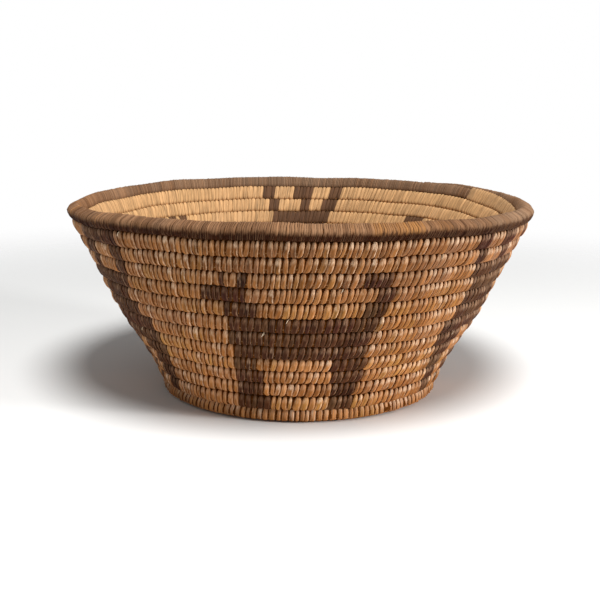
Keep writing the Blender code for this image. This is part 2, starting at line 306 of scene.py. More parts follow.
SEWING_GROWTH = SPLINT_CLEARANCE + SPLINT_THICKNESS
RIM_LIFT = SPLINT_CLEARANCE + 2 * SPLINT_BITE
FOOT_LINE_HEIGHT = foot_reach(ROUND_HEIGHT / 2 + SPLINT_BITE - SEWING_GROWTH) - FOOT_FLAT
WALL_RADII, WALL_HEIGHTS, WALL_LENGTHS = wall_table(FOOT_LINE_HEIGHT)
WALL_LENGTH = float(WALL_LENGTHS[-1])
WALL_ROUNDS = max(round(WALL_LENGTH / ROUND_HEIGHT), 1)
WALL_PITCH = WALL_LENGTH / WALL_ROUNDS
BASE_SPAN = FOOT_LINE_RADIUS - KNOT_RADIUS
BASE_ROUNDS = max(round(BASE_SPAN / ROUND_HEIGHT + 0.5), 2)
BASE_PITCH = BASE_SPAN / (BASE_ROUNDS - 0.5)
RIM_LEVEL = BASE_ROUNDS + WALL_ROUNDS
WALL_START = BASE_ROUNDS - 1
RIM_START = RIM_LEVEL - 1
RIM_END = RIM_LEVEL
CLIMB_SHARE = CLIMB_ARC_DEGREES / 360.0
TAIL_END = RIM_END + CLIMB_SHARE * TAIL_SHARE
DARK_START = RIM_START + CLIMB_SHARE * DARK_START_SHARE
HALF_SEWN = WALL_PITCH / 2 + SPLINT_BITE
HALF_BUNDLE = HALF_SEWN - SEWING_GROWTH
ROUND_GAP = WALL_PITCH - 2 * HALF_BUNDLE


def level_table():
    """Radius and height of the coil's line at even steps of level, each round one pitch from the last."""
    levels = np.arange(-LEVEL_STEPS, RIM_LEVEL * LEVEL_STEPS + 1) / LEVEL_STEPS
    radii = KNOT_RADIUS + BASE_PITCH * (levels - 0.5)
    heights = FOOT_LINE_HEIGHT + BASE_RISE * (1.0 - (radii / FOOT_LINE_RADIUS) ** BASE_ROUNDNESS)
    for i in np.flatnonzero(levels > BASE_ROUNDS):
        before = i - LEVEL_STEPS
        pitch = BASE_PITCH + min(levels[i] - BASE_ROUNDS, 1.0) * (WALL_PITCH - BASE_PITCH)
        apart = np.hypot(WALL_RADII - radii[before], WALL_HEIGHTS - heights[before])
        nearest = int(np.argmin(apart))
        length = np.interp(pitch, apart[nearest:], WALL_LENGTHS[nearest:])
        radii[i] = np.interp(length, WALL_LENGTHS, WALL_RADII)
        heights[i] = np.interp(length, WALL_LENGTHS, WALL_HEIGHTS)
    return levels, radii, heights


LEVELS, LEVEL_RADII, LEVEL_HEIGHTS = level_table()


def line_at(levels):
    """Radius and height of the coil's line, as the last axis."""
    return np.stack(
        (np.interp(levels, LEVELS, LEVEL_RADII), np.interp(levels, LEVELS, LEVEL_HEIGHTS)), -1
    )


def distance(levels, others):
    """How far apart the line is at two sets of levels."""
    return np.linalg.norm(line_at(levels) - line_at(others), axis=-1)


def tail_width(turns):
    """Width of the sewn rim, as a share, where it runs out over its own start and lies on it."""
    climb = eased((turns - RIM_END) / CLIMB_SHARE)
    room = distance(np.full_like(turns, RIM_LEVEL), RIM_LEVEL - 1 + climb)
    room += RIM_LIFT * (1.0 - climb) + TAIL_OVERLAP
    thinned = np.clip((turns - RIM_END) / THINNING_SHARE + 1.0, 0.0, 1.0)
    return 1.0 + thinned * (np.minimum(room / (2 * HALF_SEWN), 1.0) - 1.0)


def coil_table():
    """The coil at even steps of turn: its line, the way up along the profile, and its half height."""
    turns = np.arange(START_SHARE, TAIL_END + 2.0 / TURN_STEPS, 1.0 / TURN_STEPS)
    part = turns % 1.0
    climb = part + np.minimum(turns / WALL_START, 1.0) * (eased(part / CLIMB_SHARE) - part)
    first = turns + np.minimum((turns + 1.0) / WALL_START, 1.0) * (eased(turns / CLIMB_SHARE) - turns)
    levels = np.where(turns < 1.0, first / 2 + 0.5, np.floor(turns) + climb)
    levels = np.minimum(levels, RIM_LEVEL)
    levels[turns > RIM_END - THINNING_SHARE] = RIM_LEVEL
    nearest = np.minimum(distance(levels + 1.0, levels), distance(levels, levels - 1.0))
    half_high = np.where(turns < 1.0, first * BASE_PITCH / 2, nearest / 2)
    half_high[turns > RIM_START] = HALF_SEWN
    tail = tail_width(turns)
    in_tail = turns > RIM_END - THINNING_SHARE
    half_high[in_tail] = (HALF_SEWN * tail)[in_tail]
    before = line_at(levels) - line_at(levels - 1.0)
    after = line_at(np.minimum(levels + 1.0, RIM_LEVEL)) - line_at(levels)
    bend = np.arctan2(after[:, 1], after[:, 0]) - np.arctan2(before[:, 1], before[:, 0])
    bend = np.where(levels > RIM_LEVEL - 1.0, 0.0, bend / 2)
    up = before + after
    up /= np.linalg.norm(up, axis=1)[:, None]
    last, rim = eased((turns + 1.0 - RIM_START) / CLIMB_SHARE), eased((turns - RIM_START) / CLIMB_SHARE)
    raised = ROW_RAISE * eased((levels - BASE_ROUNDS) / ROW_RAISE_ROUNDS)
    half_high += (1.0 - rim) * last * (RIM_LIFT + RIM_SHRINK - ROW_RAISE) / 2
    under_rim = (RIM_LIFT + RIM_SHRINK + ROW_RAISE) / 2
    lift = (1.0 - rim) * (raised * (1.0 - last) + under_rim * last) + RIM_LIFT * rim
    lift += np.where(in_tail, HALF_SEWN - half_high, 0.0)
    return turns, line_at(levels) + lift[:, None] * up, up, half_high, bend


TURNS, LINE, UP, HALF_HIGH, BEND = coil_table()
ALONG = np.concatenate(([0.0], np.cumsum(math.tau * LINE[:-1, 0] * np.diff(TURNS))))


def at(turns, table):
    """What a table of the coil says at these turns."""
    return np.interp(turns, TURNS, table)


def sunk(azimuths, heights):
    """How far the wall has sunk at each side: in full at the rim, not at the foot."""
    share = np.maximum(heights - FOOT_LINE_HEIGHT, 0.0) / (RIM_LINE_HEIGHT - FOOT_LINE_HEIGHT)
    depth = 0.0
    for deepest, middle, spread in DIPS:
        away = (np.degrees(azimuths) - middle + 180.0) % 360.0 - 180.0
        depth = depth + deepest * np.exp(-((away / spread) ** 2))
    return share * depth


def waver(waves, azimuths, heights):
    """How far hand work lets the wall stand off, in metres: in full at the rim, not at the foot."""
    share = np.clip(heights / RIM_LINE_HEIGHT, 0.0, 1.0)
    return share * sum(
        size * np.sin(count * azimuths + slant * heights + start) for size, count, slant, start in waves
    )


def on_coil(turns, out, up):
    """Points beside the coil's line, so far out of the wall and so far up along it."""
    up_r, up_z = at(turns, UP[:, 0]), at(turns, UP[:, 1])
    radius = at(turns, LINE[:, 0]) + out * up_z + up * up_r
    height = at(turns, LINE[:, 1]) - out * up_r + up * up_z
    azimuth = math.radians(CLIMB_START_DEGREES) + math.tau * turns
    radius = radius + waver(WAVES_OUT, azimuth, height)
    height = height + waver(WAVES_UP, azimuth, height) - sunk(azimuth, height)
    height = np.maximum(height, LEAST_HEIGHT)
    return np.stack((radius * np.sin(azimuth), -radius * np.cos(azimuth), height), -1)


def section(angles, half_thick, half_high):
    """Points and outward directions of the rounded section, at angles from straight out towards up."""
    c, s = np.cos(angles), np.sin(angles)
    places, powers = np.array(SQUARENESS).T
    power = np.interp((np.degrees(angles) + 90.0) % 360.0 - 90.0, places, powers)
    size = (np.abs(c / half_thick) ** power + np.abs(s / half_high) ** power) ** (-1.0 / power)
    x, y = size * c, size * s
    nx = np.sign(c) * np.abs(x / half_thick) ** (power - 1) / half_thick
    ny = np.sign(s) * np.abs(y / half_high) ** (power - 1) / half_high
    length = np.hypot(nx, ny)
    return x, y, nx / length, ny / length


def new_object(name, data):
    """An object of the scene, from its data."""
    item = bpy.data.objects.new(name, data)
    bpy.context.scene.collection.objects.link(item)
    return item


def new_mesh(name, points, quads, ends, values):
    """A smooth mesh object from a grid of points, four-sided faces, end faces and values of the points."""
    grid = points.shape[:-1]
    mesh = bpy.data.meshes.new(name)
    mesh.vertices.add(math.prod(grid))
    mesh.vertices.foreach_set("co", points.astype(np.float32).ravel())
    loops = np.concatenate((quads.ravel(), ends.ravel())).astype(np.int32)
    counts = np.concatenate((np.full(len(quads), 4), np.full(len(ends), ends.shape[1])))
    mesh.loops.add(len(loops))
    mesh.loops.foreach_set("vertex_index", loops)
    mesh.polygons.add(len(counts))
    starts = np.concatenate(([0], np.cumsum(counts)[:-1])).astype(np.int32)
    mesh.polygons.foreach_set("loop_start", starts)
    mesh.polygons.foreach_set("use_smooth", np.ones(len(counts), bool))
    mesh.update(calc_edges=True)
    mesh.validate()
    for key, numbers in values.items():
        attribute = mesh.attributes.new(key, "FLOAT", "POINT")
        attribute.data.foreach_set("value", np.broadcast_to(numbers, grid).astype(np.float32).ravel())
    return new_object(name, mesh)


def tube_faces(count, steps, around):
    """Faces of so many tubes, each of steps rings of points around, closed at both ends."""
    first = (np.arange(count) * steps * around)[:, None, None]
    ring = (np.arange(steps - 1) * around)[None, :, None]
    here = np.arange(around)[None, None, :]
    there = (here + 1) % around
    near, far = first + ring + here, first + ring + there
    quads = np.stack((near, far, far + around, near + around), -1).reshape(-1, 4)
    low = first[:, 0] + np.arange(around)[::-1][None, :]
    high = first[:, 0] + (steps - 1) * around + np.arange(around)[None, :]
    return quads, np.concatenate((low, high))


class Shape:
    """How one kind of stitch runs round the coil: what it measures from crease to crease, by degrees."""

    def __init__(self, degrees, width, crown, dip, lean):
        """Degrees at which the band has its points, and a table for each measure."""
        self.angles = np.radians(np.array(degrees, float))
        self.width = self.along(width)
        self.crown = self.along(crown)
        self.dip = self.along(dip)
        self.lean = self.along(lean)

    def along(self, table):
        """A table of degrees and values, at the shape's own angles."""
        places, values = np.array(table, float).T
        return np.interp(self.angles, np.radians(places), values)


STITCH_DEGREES = (-110, -98, -87, -77, -69, -62, -56, -50, -43, -34, -20, 0, 20, 34, 43, 50, 56, 62)
STITCH_DEGREES += (69, 78, 90, 102, 112, 121, 130, 142, 160, 180, 200, 218, 230, 242, 260, 284)
STITCH_WIDTH = (
    (-110, 0.05), (-96, 0.20), (-84, 0.30), (-74, 0.40), (-66, 0.52), (-60, 0.64), (-54, 0.76),
    (-47, 0.88), (-38, 0.96), (0, 1.0), (38, 0.96), (47, 0.86), (54, 0.74), (60, 0.62), (66, 0.53),
    (76, 0.52), (98, 0.52), (112, 0.68), (124, 0.92), (140, 1.08), (218, 1.08), (232, 0.94),
    (244, 0.74), (262, 0.44), (284, 0.05),
)
STITCH_CROWN = (
    (-110, 0.05), (-80, 0.40), (-56, 0.70), (-30, 0.90), (20, 1.0), (56, 1.1), (80, 0.85),
    (100, 0.56), (130, 0.46), (230, 0.46), (256, 0.40), (284, 0.05),
)
STITCH_DIPS = (
    (-110, 0.0), (20, 0.0), (40, -0.35), (56, -0.85), (72, -1.0), (90, -0.9), (112, -0.7),
    (130, -0.4), (150, 0.0), (284, 0.0),
)
STITCH_LEAN = (
    (-110, -0.50), (-88, -0.36), (-60, -0.20), (0, 0.0), (60, 0.26), (90, 0.30), (120, 0.34),
    (180, 0.62), (240, 0.90), (268, 1.0), (284, 1.02),
)
STITCH = Shape(STITCH_DEGREES, STITCH_WIDTH, STITCH_CROWN, STITCH_DIPS, STITCH_LEAN)
WRAP_DEGREES = (-108, -96, -84, -70, -52, -32, -10, 14, 38, 62, 84, 106, 130, 154, 178, 202, 224)
WRAP_DEGREES += (244, 258, 270, 284)
WRAP = Shape(
    WRAP_DEGREES,
    ((-108, 0.2), (-92, 0.6), (-76, 0.9), (-50, 1.0), (230, 1.0), (256, 0.9), (270, 0.6), (284, 0.2)),
    ((-108, 0.05), (-84, 0.7), (-50, 1.0), (230, 1.0), (262, 0.6), (284, 0.05)),
    ((-108, 0.2), (-88, 0.6), (-70, 0.5), (-40, 0.0), (220, 0.0), (250, 0.5), (284, 0.2)),
    ((-108, -0.6), (-90, -0.5), (0, 0.0), (90, 0.5), (180, 1.0), (270, 1.5), (284, 1.6)),
)
LOOSE_END = Shape(
    (42, 47, 52, 57, 62, 67, 72),
    ((42, 0.05), (50, 0.20), (62, 0.26), (72, 0.12)),
    ((42, 1.0), (50, 1.5), (62, 1.7), (72, 1.0)),
    ((42, 0.0), (72, 0.0)),
    ((42, 0.0), (72, 0.6)),
)

# Places across a stitch, from edge to edge over its top and back under it
CROSS = np.array([-1.0, -0.80, -0.45, 0.0, 0.45, 0.80, 1.0])
UNDER = np.array([0.6, -0.6])
ACROSS = np.concatenate((CROSS, UNDER))[None, None, :]
ON_TOP = np.concatenate((np.ones(len(CROSS)), np.zeros(len(UNDER))))[None, None, :]
CROWN_LINE = (1.0 - np.abs(ACROSS) ** CROWN_POWER) ** CROWN_FULLNESS


def round_coil(angles, bend):
    """Angles on a section whose two creases are turned by a bend towards its inner side."""
    right = math.pi / 2
    face_end = math.radians(FACE_END_DEGREES)
    span = right - face_end - CREASE_SQUEEZE * bend
    squeeze = span / (right - face_end)
    size = np.abs(angles)
    face = size * (right + bend - span) / face_end
    outer = np.sign(angles) * np.where(size < face_end, face, right + bend + (size - right) * squeeze)
    inner = right + bend + (angles - right) * (math.pi - 2 * bend) / math.pi
    past = 3 * right - bend + (angles - 3 * right) * squeeze
    bent = np.where(angles > right, inner, outer)
    return np.where(angles > 3 * right, past, bent)


def sewing(name, stitches, shape, crown, dip, shrink=0.0):
    """One piece of many splint stitches, each a closed band wound once round the coil."""
    one = {key: values[:, None, None] for key, values in stitches.items()}
    turn, pitch = one["turn"], one["pitch"]
    angles = shape.angles[None, :, None]
    half_high = at(turn, HALF_HIGH)
    fullness = np.minimum(half_high / HALF_BUNDLE, 1.0)
    even_thick = np.sqrt(fullness) * COIL_THICKNESS / 2
    degrees = np.degrees(angles)
    inside = rise(degrees, *INNER_START) * rise(degrees, *INNER_END)
    outer_thick = even_thick * one["plump"]
    thick = outer_thick + (even_thick - outer_thick) * inside
    inset = fullness * (SPLINT_INSET * (1.0 - INNER_REACH * inside) + shrink)
    x, y, nx, ny = section(round_coil(angles, at(turn, BEND)), thick, half_high - inset)
    outside = np.clip(np.cos(angles), 0.0, 1.0)
    high = crown * one["crown"] * CROWN_LINE * shape.crown[None, :, None] + EDGE_LEVEL
    high = high + one["roll"] * ACROSS * pitch / 2 * outside
    high = np.where(ON_TOP > 0, high, UNDERSIDE)
    out = x + nx * high
    up = y + ny * high - dip * shape.dip[None, :, None]
    low, last = rise(degrees, *LOW_TURN), rise(degrees, *HIGH_TURN)
    aside = one["even"] * shape.lean[None, :, None] + pitch * one["lean"] * np.sin(angles) * outside
    aside = aside + one["shift"] * low + one["next_shift"] * last + one["bow"] * outside
    width = 1.0 + (one["width"] - 1.0) * outside
    aside = aside + ACROSS * shape.width[None, :, None] * pitch / 2 * width
    points = on_coil(turn + aside / (math.tau * at(turn, LINE[:, 0])), out, up)
    values = {key: one[key] for key in ("tint", "tone", "shade", "wear_and_highlight")}
    values.update({"around": angles / math.tau, "across": ACROSS * ON_TOP})
    return new_mesh(name, points, *tube_faces(*points.shape[:3]), values)


def uneven(rng, count, middle, spread):
    """A value for each stitch, scattered round a middle and kept within two spreads of it."""
    return middle + spread * rng.standard_normal(count).clip(-2, 2)


def laid_out(start, end, pitch, rng):
    """Middles and pitches of stitches that share out a stretch of the coil, unevenly as by hand."""
    first, last = at(start, ALONG), at(end, ALONG)
    count = max(int(round((last - first) / pitch)), 1)
    widths = 1.0 + STITCH_UNEVEN * np.clip(rng.standard_normal(count), STITCH_LEAST, STITCH_MOST)
    marks = np.arange(0, count + SLOW_STITCHES, SLOW_STITCHES)
    slow = np.interp(np.arange(count), marks, rng.random(len(marks)))
    widths *= SLOW_LEAST + SLOW_SPAN * slow
    edges = first + (last - first) * np.concatenate(([0.0], np.cumsum(widths))) / widths.sum()
    middles = (edges[:-1] + edges[1:]) / 2
    return np.interp(middles, ALONG, TURNS), np.diff(edges), np.interp(edges, ALONG, TURNS)


def splints(count, rng, shortest, longest):
    """A value for each stitch that stays nearly the same along one splint's length of sewing."""
    values = np.empty(count)
    i = 0
    while i < count:
        length = int(rng.integers(shortest, longest))
        values[i : i + length] = rng.random()
        i += length
    return values


def azimuth_of(turns):
    """Degrees from the front, from -180 to 180."""
    return (CLIMB_START_DEGREES + 360.0 * turns + 180.0) % 360.0 - 180.0


# Where the side lamp lights the stitches most, in degrees, where they get the most wear and painted
# highlight, and the power that thins both out elsewhere and there
LIT_AZIMUTH, LIT_SPREAD = 55.0, 38.0
WEAR_POWER, LIT_SIDE_POWER = 3.0, 0.55

# Stitches sewn with one length of splint, fewest and most
SPLINT_RUN, WRAP_RUN = (5, 16), (8, 30)

# Tint, tone and shade of a stitch: the least, then how much by its length of splint and by itself
TINTS = (0.08, 0.40, 0.44)
TONES = (0.55, 0.45)
WRAP_TINTS = (0.5, 0.5)
WRAP_TONE_SHARE = 0.5
STITCH_SHADES, WRAP_SHADES, LOOSE_SHADES = 0.22, 0.30, 0.3

# Patches of another tone on the sewing, some with painted light and some with painted shade: row, its
# spread, azimuth, its spread, tone, shade
TONE_AND_PAINTED_LIGHT_PATCHES = (
    # Painted shade under the rim's overhang on the upper rows at the front, with a mauve tone; then the
    # rim's painted shadow on rows 1 and 2
    (2.8, 3.8, -10.0, 75.0, -0.10, -0.21),
    (1.2, 1.6, 0.0, 50.0, 0.0, -0.17),
    # Painted light from the floor's bounce, lighter towards the foot all round
    (12.5, 2.8, 0.0, 160.0, 0.0, 0.08),
    (0.0, 0.4, 27.0, 15.0, 0.7, 0.0),
    # A mauve tone at the rim's right, with painted shade against the side lamp's light
    (0.0, 0.4, 60.0, 24.0, -0.7, -0.27),
    (0.0, 0.4, 180.0, 90.0, -0.9, -0.04),
    (0.0, 0.4, -180.0, 90.0, -0.9, -0.04),
    # A mauve tone with painted light on the right, then painted light on the right side's rows
    (1.5, 1.4, 42.0, 22.0, -0.40, 0.05),
    (6.0, 7.0, 54.0, 24.0, 0.0, 0.05),
    (5.0, 0.5, 4.0, 12.0, 0.26, 0.0),
    (8.5, 0.9, -45.0, 18.0, 0.55, 0.04),
    (9.5, 1.4, 44.0, 16.0, 0.35, 0.03),
    (3.2, 0.8, 60.0, 12.0, 0.45, 0.05),
    (12.0, 1.2, -8.0, 22.0, 0.15, 0.03),
    # Painted light on the inside at the back right, with a slightly mauve tone
    (2.0, 2.6, 126.0, 42.0, -0.08, 0.13),
    (0.0, 0.4, -84.0, 30.0, 0.4, 0.16),
)


def sewn_stretch(start, end, pitch, rng):
    """What each stitch of a stretch of the coil is like."""
    turn, step, edges = laid_out(start, end, pitch, rng)
    count = len(turn)
    tint = TINTS[0] + TINTS[1] * splints(count, rng, *SPLINT_RUN) + TINTS[2] * rng.random(count)
    tone = TONES[0] * (splints(count, rng, *SPLINT_RUN) - 0.5) + TONES[1] * (rng.random(count) - 0.5)
    shade = STITCH_SHADES * (rng.random(count) - 0.5)
    row, azimuth = np.maximum(RIM_START - np.floor(turn), 0.0), azimuth_of(turn)
    # Stitches on the side that the side lamp lights get more wear and more painted highlight
    lit_side = np.exp(-(((azimuth - LIT_AZIMUTH) / LIT_SPREAD) ** 2))
    for at_row, row_spread, at_azimuth, spread, more_tone, more_shade in TONE_AND_PAINTED_LIGHT_PATCHES:
        near = np.exp(-(((row - at_row) / row_spread) ** 2) - ((azimuth - at_azimuth) / spread) ** 2)
        tone += more_tone * near
        shade += more_shade * near
    return {
        "turn": turn,
        "pitch": step,
        "even": np.full(count, pitch),
        "edges": edges,
        **{key: uneven(rng, count, *spread) for key, spread in STITCH_HAND.items()},
        "tint": tint,
        "tone": tone,
        "shade": shade,
        "wear_and_highlight": rng.random(count) ** (WEAR_POWER + (LIT_SIDE_POWER - WEAR_POWER) * lit_side),
        "shift": np.zeros(count),
        "next_shift": np.zeros(count),
    }


def aim_between(stitches):
    """Shifts each stitch's lower ends into the gap between two stitches of the round before."""
    turn, edges = stitches["turn"], stitches["edges"]
    wanted = turn - 1.0
    i = np.clip(np.searchsorted(edges, wanted), 1, len(edges) - 1)
    low, high = edges[i - 1], edges[i]
    nearest = np.where(wanted - low < high - wanted, low, high)
    metres = (nearest - wanted) * math.tau * at(turn, LINE[:, 0])
    metres = np.where(wanted > edges[0], metres, 0.0)
    stitches["shift"] = np.clip(metres, -LONGEST_SHIFT, LONGEST_SHIFT) * SHIFT_SHARE
    stitches["next_shift"] = np.concatenate((stitches["shift"][1:], [0.0]))


def chosen(stitches, mask):
    """The same values for some of the stitches."""
    return {key: values[mask] for key, values in stitches.items() if key != "edges"}


def dark_masks(turns):
    """For each figure, which of the stitches at these turns are sewn dark."""
    masks = {}
    for name, rows, middle in FIGURES:
        past_climb = (middle - CLIMB_START_DEGREES - CLIMB_ARC_DEGREES) % 360.0
        turns_on = (CLIMB_ARC_DEGREES + past_climb) / 360.0
        mask = np.zeros(len(turns), bool)
        for row, runs in rows.items():
            turn = RIM_START - row + turns_on
            for start, end in runs:
                mask |= (turns > turn + start / 360.0) & (turns < turn + end / 360.0)
        masks[name] = mask
    return masks


# Inputs and result of the colour mixing node, by index
MIX_INPUTS = (0, 6, 7)
MIX_RESULT = 2

# Grain: waves across and along a splint, how far apart splints are in the noise, and the bump's height
GRAIN = (2.1, 2.2)
FLECKS = (3.4, 14.0)
GRAIN_APART = 97.0
GRAIN_NOISE, GRASS_NOISE = (3.0, 0.62), (4.0, 0.6)
GRAIN_RANGE = (0.28, 0.72)
GRAIN_SHADES = (0.62, 1.36)
RIM_GRAIN_SHADES = (0.80, 1.18)
ROUGHNESS = (0.3, 0.7, 0.46, 0.62)
RIM_ROUGHNESS = (0.3, 0.7, 0.48, 0.64)
SPLINT_BUMP, RIM_BUMP, GRASS_BUMP = 0.6, 0.5, 0.8
BUMP_DISTANCE = 0.0002
SPLINT_SPECULAR = 0.04
GRASS_SPECULAR = 0.02
GRASS_ROUGHNESS = 0.80
GRASS_STEMS = 46.0
GRASS_LENGTHS = 260.0
GRASS_INSIDE = (0.26, 0.36, 0.64, 0.74)

# How tone draws a colour to the mauve and the golden one
TONE_REACH = 0.7
LOW_TONE_SHARE = 0.8
HIGH_TONE_SHARE = 0.85

# Where a stitch's lit tip gets painted highlight with some rubbing, and where it gets painted shade under
# the round above, in degrees round the coil: start, full, last, end
HIGHLIT_TIP = (18.0, 46.0, 54.0, 64.0)
UPPER_CREASE = (56.0, 70.0, 90.0, 104.0)

# The same for painted shade in the crease at a stitch's lower end and at its inner end, and how dark it
# gets
LOWER_CREASE = (-50.0, -68.0, 0.0, 0.9)
LAST_CREASE = (240.0, 262.0, 0.0, 0.7)

# The same across it, as shares of its half width: painted highlight on the ridge, stronger on the side the
# lamp lights, painted shade at the edges between stitches and between the rim's wraps, and the rim's
# streaks
HIGHLIT_RIDGE = (0.30, 0.62, 0.72, 0.90)
LIT_EDGE_RANGE = (-0.2, 0.2, 0.30, 1.0)
EDGE_START = 0.76
WRAP_STREAK = (0.40, 0.62, 0.78, 0.92)
WRAP_EDGE = (0.72, 1.0, 0.0, 0.6)

# How strongly each is mixed in
INNER_SHARE, RIDGE_SHARE, TIP_SHARE = 0.74, 0.85, 0.95
EDGE_SHARE, INNER_EDGE_SHARE, UPPER_SHARE, GRASS_INSIDE_SHARE = 0.74, 0.85, 0.85, 0.85

# How much painted highlight, with some rubbing, a stitch gets, by its wear and its flecks
RUB_AND_HIGHLIGHT_BY_WEAR = (0.0, 1.0, 0.42, 1.0)
RUB_AND_HIGHLIGHT_BY_FLECK = (0.34, 0.66, 0.15, 1.0)
PALEST_BY_WEAR = (0.4, 1.0)
STREAK_BY_WEAR = (0.02, 0.5, 0.0, 0.30)
STREAK_ABOVE = (-75.0, -40.0)

# The rim is worn to tan above this height in degrees, which wear and flecks move
RIM_WORN = (4.0, 38.0)
RIM_WORN_END = (262.0, 225.0)
RIM_WEAR_REACH = 22.0
RIM_FLECKS = (0.2, 0.8, -12.0, 12.0)

# Shares of tint and flecks in the rim's tan
MOTTLE = (0.6, 0.4)


def new_tree(name):
    """A new material and its empty node tree."""
    material = bpy.data.materials.new(name)
    material.use_nodes = True
    material.node_tree.nodes.clear()
    return material, material.node_tree


def add(tree, kind, inputs=(), **settings):
    """A shader node with its settings, and its inputs set to values or linked from sockets."""
    node = tree.nodes.new("ShaderNode" + kind)
    for key, value in settings.items():
        setattr(node, key, value)
    for key, value in dict(inputs).items():
        if isinstance(value, bpy.types.NodeSocket):
            tree.links.new(value, node.inputs[key])
        else:
            node.inputs[key].default_value = value
    return node


def kept(tree, name):
    """A value that the mesh keeps at its points."""
    return add(tree, "Attribute", attribute_name=name).outputs["Fac"]


def sums(tree, operation, a, b):
    """One step of arithmetic on two values."""
    return add(tree, "Math", {0: a, 1: b}, operation=operation).outputs[0]


def times(tree, *factors):
    """The product of values, from left to right."""
    product = factors[0]
    for factor in factors[1:]:
        product = sums(tree, "MULTIPLY", product, factor)
    return product


def between(tree, value, low, high, to_low=0.0, to_high=1.0):
    """A value carried from one range to another, smoothly and no further."""
    inputs = {"Value": value, "From Min": low, "From Max": high, "To Min": to_low, "To Max": to_high}
    node = add(tree, "MapRange", inputs, interpolation_type="SMOOTHSTEP")
    return node.outputs["Result"]


def band(tree, value, start, full, last, end):
    """1 between two values, running out to 0 at a start before them and an end after them."""
    return times(tree, between(tree, value, start, full), between(tree, value, end, last))


def ramp(tree, value, stops):
    """A colour for a value, from a list of places and colours."""
    node = add(tree, "ValToRGB", {"Fac": value})
    elements = node.color_ramp.elements
    while len(elements) < len(stops):
        elements.new(0.5)
    for element, (place, colour) in zip(elements, stops):
        element.position = place
        element.color = (*colour, 1.0)
    return node.outputs["Color"]


def mixed(tree, share, a, b, blend_type="MIX"):
    """Two colours mixed; a plain colour has three numbers."""
    b = b if isinstance(b, bpy.types.NodeSocket) else (*b, 1.0)
    inputs = dict(zip(MIX_INPUTS, (share, a, b)))
    node = add(tree, "Mix", inputs, data_type="RGBA", blend_type=blend_type)
    return node.outputs[MIX_RESULT]


def shaded(tree, colour, bright):
    """A colour made lighter or darker by a factor."""
    grey = add(tree, "CombineColor", {"Red": bright, "Green": bright, "Blue": bright})
    return mixed(tree, 1.0, colour, grey.outputs[0], "MULTIPLY")


def toned(tree, colour, tone, low, high):
    """A colour drawn to one of two others as its tone falls or rises."""
    colour = mixed(tree, between(tree, tone, 0.0, -TONE_REACH, 0.0, LOW_TONE_SHARE), colour, low)
    return mixed(tree, between(tree, tone, 0.0, TONE_REACH, 0.0, HIGH_TONE_SHARE), colour, high)


def noise_at(tree, coordinates, detail, roughness):
    """Noise at coordinates that are worked out from values kept at the points."""
    place = add(tree, "CombineXYZ", coordinates).outputs[0]
    inputs = {"Vector": place, "Scale": 1.0, "Detail": detail, "Roughness": roughness}
    return add(tree, "TexNoise", inputs).outputs["Fac"]


def splint_grain(tree, fine, long):
    """Noise drawn out along each splint, different from one stitch to the next."""
    coordinates = {
        "X": times(tree, kept(tree, "across"), fine),
        "Y": times(tree, kept(tree, "around"), long),
        "Z": times(tree, kept(tree, "tint"), GRAIN_APART),
    }
    return noise_at(tree, coordinates, *GRAIN_NOISE)


def finish_material(tree, colour, roughness, height, strength, specular):
    """The shader at the end of a tree, with a fine bump."""
    inputs = {"Height": height, "Strength": strength, "Distance": BUMP_DISTANCE}
    shader_inputs = {
        "Base Color": colour,
        "Roughness": roughness,
        "Normal": add(tree, "Bump", inputs).outputs["Normal"],
        "Specular IOR Level": specular,
    }
    shader = add(tree, "BsdfPrincipled", shader_inputs)
    add(tree, "OutputMaterial", {"Surface": shader.outputs[0]})


def splint_parts(tree):
    """What every splint's material is made from: values kept at its points, and its grain."""
    values = {key: kept(tree, key) for key in ("across", "around", "tint", "tone", "shade", "wear_and_highlight")}
    values["degrees"] = times(tree, values["around"], 360.0)
    values["side"] = sums(tree, "ABSOLUTE", values["across"], 0.0)
    values["grain"] = splint_grain(tree, *GRAIN)
    values["fleck"] = splint_grain(tree, *FLECKS)
    return values


